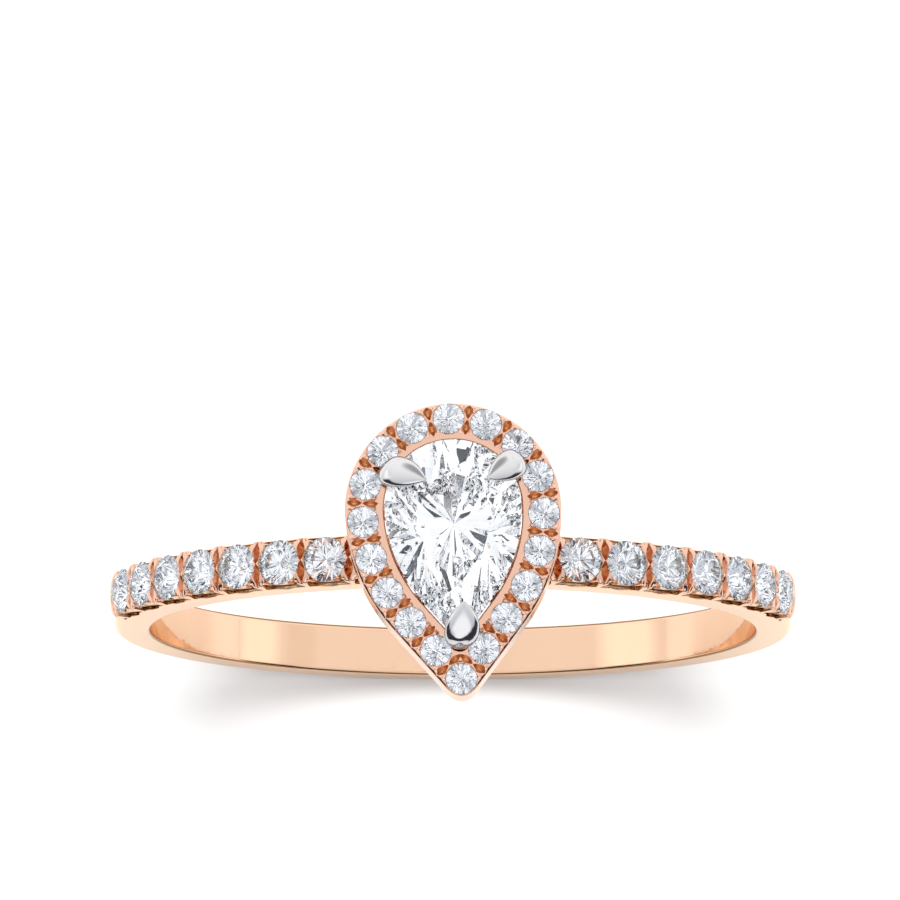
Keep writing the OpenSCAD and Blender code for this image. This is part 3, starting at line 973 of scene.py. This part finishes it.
def build_head():
    """The halo with its rail and posts, and the claws' base and rail."""
    rose = ("rose_gold", ROSE)
    white = ("white_gold", WHITE)
    cast_on_head("halo_casting", "halo", halo_field,
                 (-3.1, -5.6, HALO_BOTTOM), (3.1, 3.1, HEAD_Z + 0.15), FINE_STEP, *rose)
    cast_on_head("gallery_casting", "gallery_rail", gallery_field,
                 (-1.7, -3.8, FLAT_Z), (1.7, 1.7, RAIL_TOP), HIDDEN_STEP, *rose)
    cast_on_head("seat_rail_casting", "seat_rail", seat_rail_field,
                 (-1.7, -3.8, SEAT_RAIL_LOW), (1.7, 1.7, SEAT_RAIL_TOP), HIDDEN_STEP, *white)
    cast_on_head("base_casting", "head_base", base_field,
                 (-1.4, -3.3, PEG_LOW), (1.4, 1.4, BASE_TOP), HIDDEN_STEP, *white)
    for k, place in enumerate(POST_PLACES):
        field, low, high = post_field(place)
        cast_on_head(f"post_casting_{k + 1}", f"halo_post_{k + 1}", field, low, high,
                     HIDDEN_STEP, *rose)


def build_claw(claw):
    """One claw, from its own plane into the head and the ring."""
    field, low, high, angle = claw_field(claw)

    def to_ring(p):
        return head_to_ring(turned(p, angle))

    def from_ring(p):
        return turned(ring_to_head(p), -angle)

    obj = cast(claw + "_casting", field, low, high, CLAW_STEP, to_ring, from_ring)
    finish_piece(obj, claw, WHITE)


def build_small_stone(node, points, faces, up):
    """One of the round stones, from its points in the ring's frame."""
    stone = make_object("cut_" + node, points, faces)
    finish_piece(stone, node, SMALL)
    back_with(stone, SMALL_BACK, up, SMALL_PAINTED_GREYS)


def build_halo_stones():
    """The round stones of the halo, clockwise from the top of the pear."""
    points, faces = round_brilliant(HALO_D)
    for i, (x, y, t) in enumerate(STONE_PLACES):
        placed = turned(points, t + HALO_SPIN * i) + [x, y, HALO_GIRDLE]
        build_small_stone(f"halo_stone_{i + 1:02d}", head_to_ring(placed), faces, (0, 0, 1))


def build_side_stones():
    """The round stones of both rows, each row from the head down."""
    points, faces = round_brilliant(SIDE_D)
    for side, sign in (("left", -1), ("right", 1)):
        for i in range(SIDE_COUNT):
            a = math.radians(sign * (SIDE_FIRST + i * SIDE_PITCH))
            x, y, z = (turned(points, SIDE_SPIN * i) + [0, 0, SIDE_R]).T
            placed = np.stack([x * math.cos(a) + z * math.sin(a), y,
                               z * math.cos(a) - x * math.sin(a)], axis=1)
            build_small_stone(f"side_stone_{side}_{i + 1}", placed, faces,
                              (math.sin(a), 0, math.cos(a)))


def build_centre_stone():
    """The pear brilliant, its facets drawn about a point below the middle of the round end."""
    outline = pear_outline(STONE_OFFSET, STONE_TIP_ROUND, 64)
    points, faces = brilliant(outline - STONE_CULET, 4, STONE_TABLE, STONE_CROWN, STONE_GIRDLE,
                              STONE_PAVILION)
    points += [*STONE_CULET, STONE_GIRDLE_Z]
    centre = make_object("cut_centre_stone", head_to_ring(points), faces)
    finish_piece(centre, "centre_stone", CLEAR)
    back_with(centre, CLEAR_BACK, (0, 0, 1), CENTRE_PAINTED_GREYS)


build_band()
build_head()
for claw in CLAWS:
    build_claw(claw)
build_halo_stones()
build_side_stones()
build_centre_stone()

# ---- Floor, light and camera, in metres ----------------------------------------------------------
FLOOR_HALF = 0.35
FLOOR_Z = -PLAIN_R * MM
CAMERA_DISTANCE = 0.300
CAMERA_TILT = math.radians(8.43)
CAMERA_AIM = (-0.09, 4.49, 0.67)       # in millimetres
FRAME_WIDTH = 25.77                    # millimetres across the picture at that distance
SENSOR_WIDTH = 36
LAMP_Y = 0.07
LAMP_Z = 0.40
LAMP_AIM_Z = -0.01
BOUNCES = 32

# A white tent, brighter behind the ring, with soft boxes and cards: direction, degrees across its
# full and its faded part, and radiance
TENT_FRONT = (0.78, 0.81, 0.88)
TENT_BACK = (1.45, 1.43, 1.41)
ROOM_DARK = (0.05, 0.05, 0.06)
STONE_FRONT = (1.2, 1.22, 1.25)
STONE_BACK = (1.35, 1.35, 1.35)
METAL_CARDS = (
    ((0.0, 0.80, 0.60), 10, 28, (0.55, 0.54, 0.55)),
    ((0.975, 0.147, 0.15), 4, 12, (1.6, 1.6, 1.57)),
    ((-0.94, 0.147, 0.31), 5, 16, (1.6, 1.6, 1.57)),
    ((0.865, 0.147, 0.48), 3, 8, (1.1, 1.08, 1.05)),
    ((0.0, -0.80, 0.60), 22, 40, (1.5, 1.5, 1.5)),
)
STONE_CARDS = (
    ((0.0, -0.147, 0.989), 7.5, 9, (0.02, 0.025, 0.03)),
    ((0.50, 0.42, 0.76), 6, 7.5, (0.08, 0.09, 0.11)),
    ((-0.50, 0.42, 0.76), 6, 7.5, (0.08, 0.09, 0.11)),
    ((0.0, 0.50, 0.86), 4, 5.5, (0.10, 0.11, 0.13)),
    ((0.66, -0.30, 0.70), 3, 5, (0.55, 0.80, 1.2)),
    ((-0.5, -0.4, 0.77), 6, 9, (0.12, 0.15, 0.22)),
    ((-0.55, 0.6, 0.6), 2, 4, (9.0, 9.0, 9.0)),
    ((0.6, 0.5, 0.62), 2, 4, (9.0, 9.0, 9.0)),
    ((-0.75, -0.35, 0.55), 2, 4, (7.0, 7.2, 7.6)),
    ((0.72, -0.42, 0.55), 2, 4, (7.0, 7.2, 7.6)),
)


def build_floor():
    """The plain floor that the ring stands on."""
    corners = [(-FLOOR_HALF, -FLOOR_HALF, FLOOR_Z), (FLOOR_HALF, -FLOOR_HALF, FLOOR_Z),
               (FLOOR_HALF, FLOOR_HALF, FLOOR_Z), (-FLOOR_HALF, FLOOR_HALF, FLOOR_Z)]
    mesh = bpy.data.meshes.new("floor")
    mesh.from_pydata(corners, [], [(0, 1, 2, 3)])
    floor = bpy.data.objects.new("floor", mesh)
    bpy.context.scene.collection.objects.link(floor)
    white, _, shader = new_material("floor_white")
    shader.inputs["Base Color"].default_value = (0.60, 0.60, 0.60, 1)
    shader.inputs["Roughness"].default_value = 0.9
    shader.inputs["Specular IOR Level"].default_value = 0.0
    mesh.materials.append(white)


def with_cards(n, direction, base, cards):
    """The base colour with round cards on it, each fading out towards its edge."""
    for facing, full, faded, colour in cards:
        unit = np.array(facing) / np.linalg.norm(facing)
        dot = n.add("VectorMath", {0: direction, 1: unit}, operation="DOT_PRODUCT")
        mask = n.ramp(dot.outputs["Value"], math.cos(math.radians(faded)),
                      math.cos(math.radians(full)), curve="SMOOTHSTEP")
        base = n.mix(mask, base, (*colour, 1))
    return base


def build_studio():
    """The studio round the ring: the metals see one set of cards, and rays that have passed into a
    stone see the other. The camera sees plain white."""
    world = bpy.data.worlds.new("studio")
    bpy.context.scene.world = world
    world.use_nodes = True
    n = Nodes(world.node_tree)
    background = n.nodes["Background"]
    background.inputs["Strength"].default_value = 1.0
    direction = n.add("TexCoord").outputs["Generated"]
    split = n.add("SeparateXYZ", {0: direction}).outputs
    to_back = n.ramp(split["Y"], -1, 1, curve="SMOOTHSTEP")
    tent = n.mix(to_back, (*TENT_FRONT, 1), (*TENT_BACK, 1))
    for_metal = with_cards(n, direction, tent, METAL_CARDS)
    # the dark room in front, below the tent's edge
    low_band = n.ramp(split["Z"], 0.36, 0.48, 1, 0, "SMOOTHSTEP")
    front = n.ramp(split["Y"], -0.25, -0.06, 1, 0, "SMOOTHSTEP")
    for_metal = n.mix(n.math("MULTIPLY", low_band, front), for_metal, (*ROOM_DARK, 1))
    stone_tent = n.mix(to_back, (*STONE_FRONT, 1), (*STONE_BACK, 1))
    for_stones = with_cards(n, direction, stone_tent, STONE_CARDS)
    path = n.add("LightPath").outputs
    seen = n.mix(path["Is Transmission Ray"], for_metal, for_stones)
    seen = n.mix(path["Is Camera Ray"], seen, (1, 1, 1, 1))
    n.links.new(seen, background.inputs["Color"])


def build_lamp():
    """A broad lamp overhead, for the floor and its shadow only."""
    light = bpy.data.lights.new("top_light", "AREA")
    light.shape = "DISK"
    light.size = 0.32
    light.energy = 2.6
    lamp = bpy.data.objects.new("top_light", light)
    bpy.context.scene.collection.objects.link(lamp)
    lamp.location = (0.0, LAMP_Y, LAMP_Z)
    lamp.rotation_euler = (-math.atan2(LAMP_Y, LAMP_Z - LAMP_AIM_Z), 0, 0)
    lamp.visible_glossy = False
    lamp.visible_transmission = False
    lamp.visible_camera = False


def build_camera():
    """The camera, above the head and a little in front of it, looking down."""
    data = bpy.data.cameras.new("camera")
    camera = bpy.data.objects.new("camera", data)
    bpy.context.scene.collection.objects.link(camera)
    bpy.context.scene.camera = camera
    camera.location = (0, -CAMERA_DISTANCE * math.sin(CAMERA_TILT),
                       CAMERA_DISTANCE * math.cos(CAMERA_TILT))
    aim = Vector(CAMERA_AIM) * MM
    camera.rotation_euler = (aim - camera.location).to_track_quat("-Z", "Y").to_euler()
    data.sensor_width = SENSOR_WIDTH
    data.lens = SENSOR_WIDTH * (CAMERA_DISTANCE / MM) / FRAME_WIDTH
    data.clip_start = 0.01


build_floor()
build_studio()
build_lamp()
build_camera()

scene = bpy.context.scene
scene.view_settings.view_transform = "Standard"
scene.cycles.max_bounces = BOUNCES
scene.cycles.transmission_bounces = BOUNCES
scene.cycles.glossy_bounces = BOUNCES
scene.cycles.caustics_reflective = True
scene.cycles.caustics_refractive = True
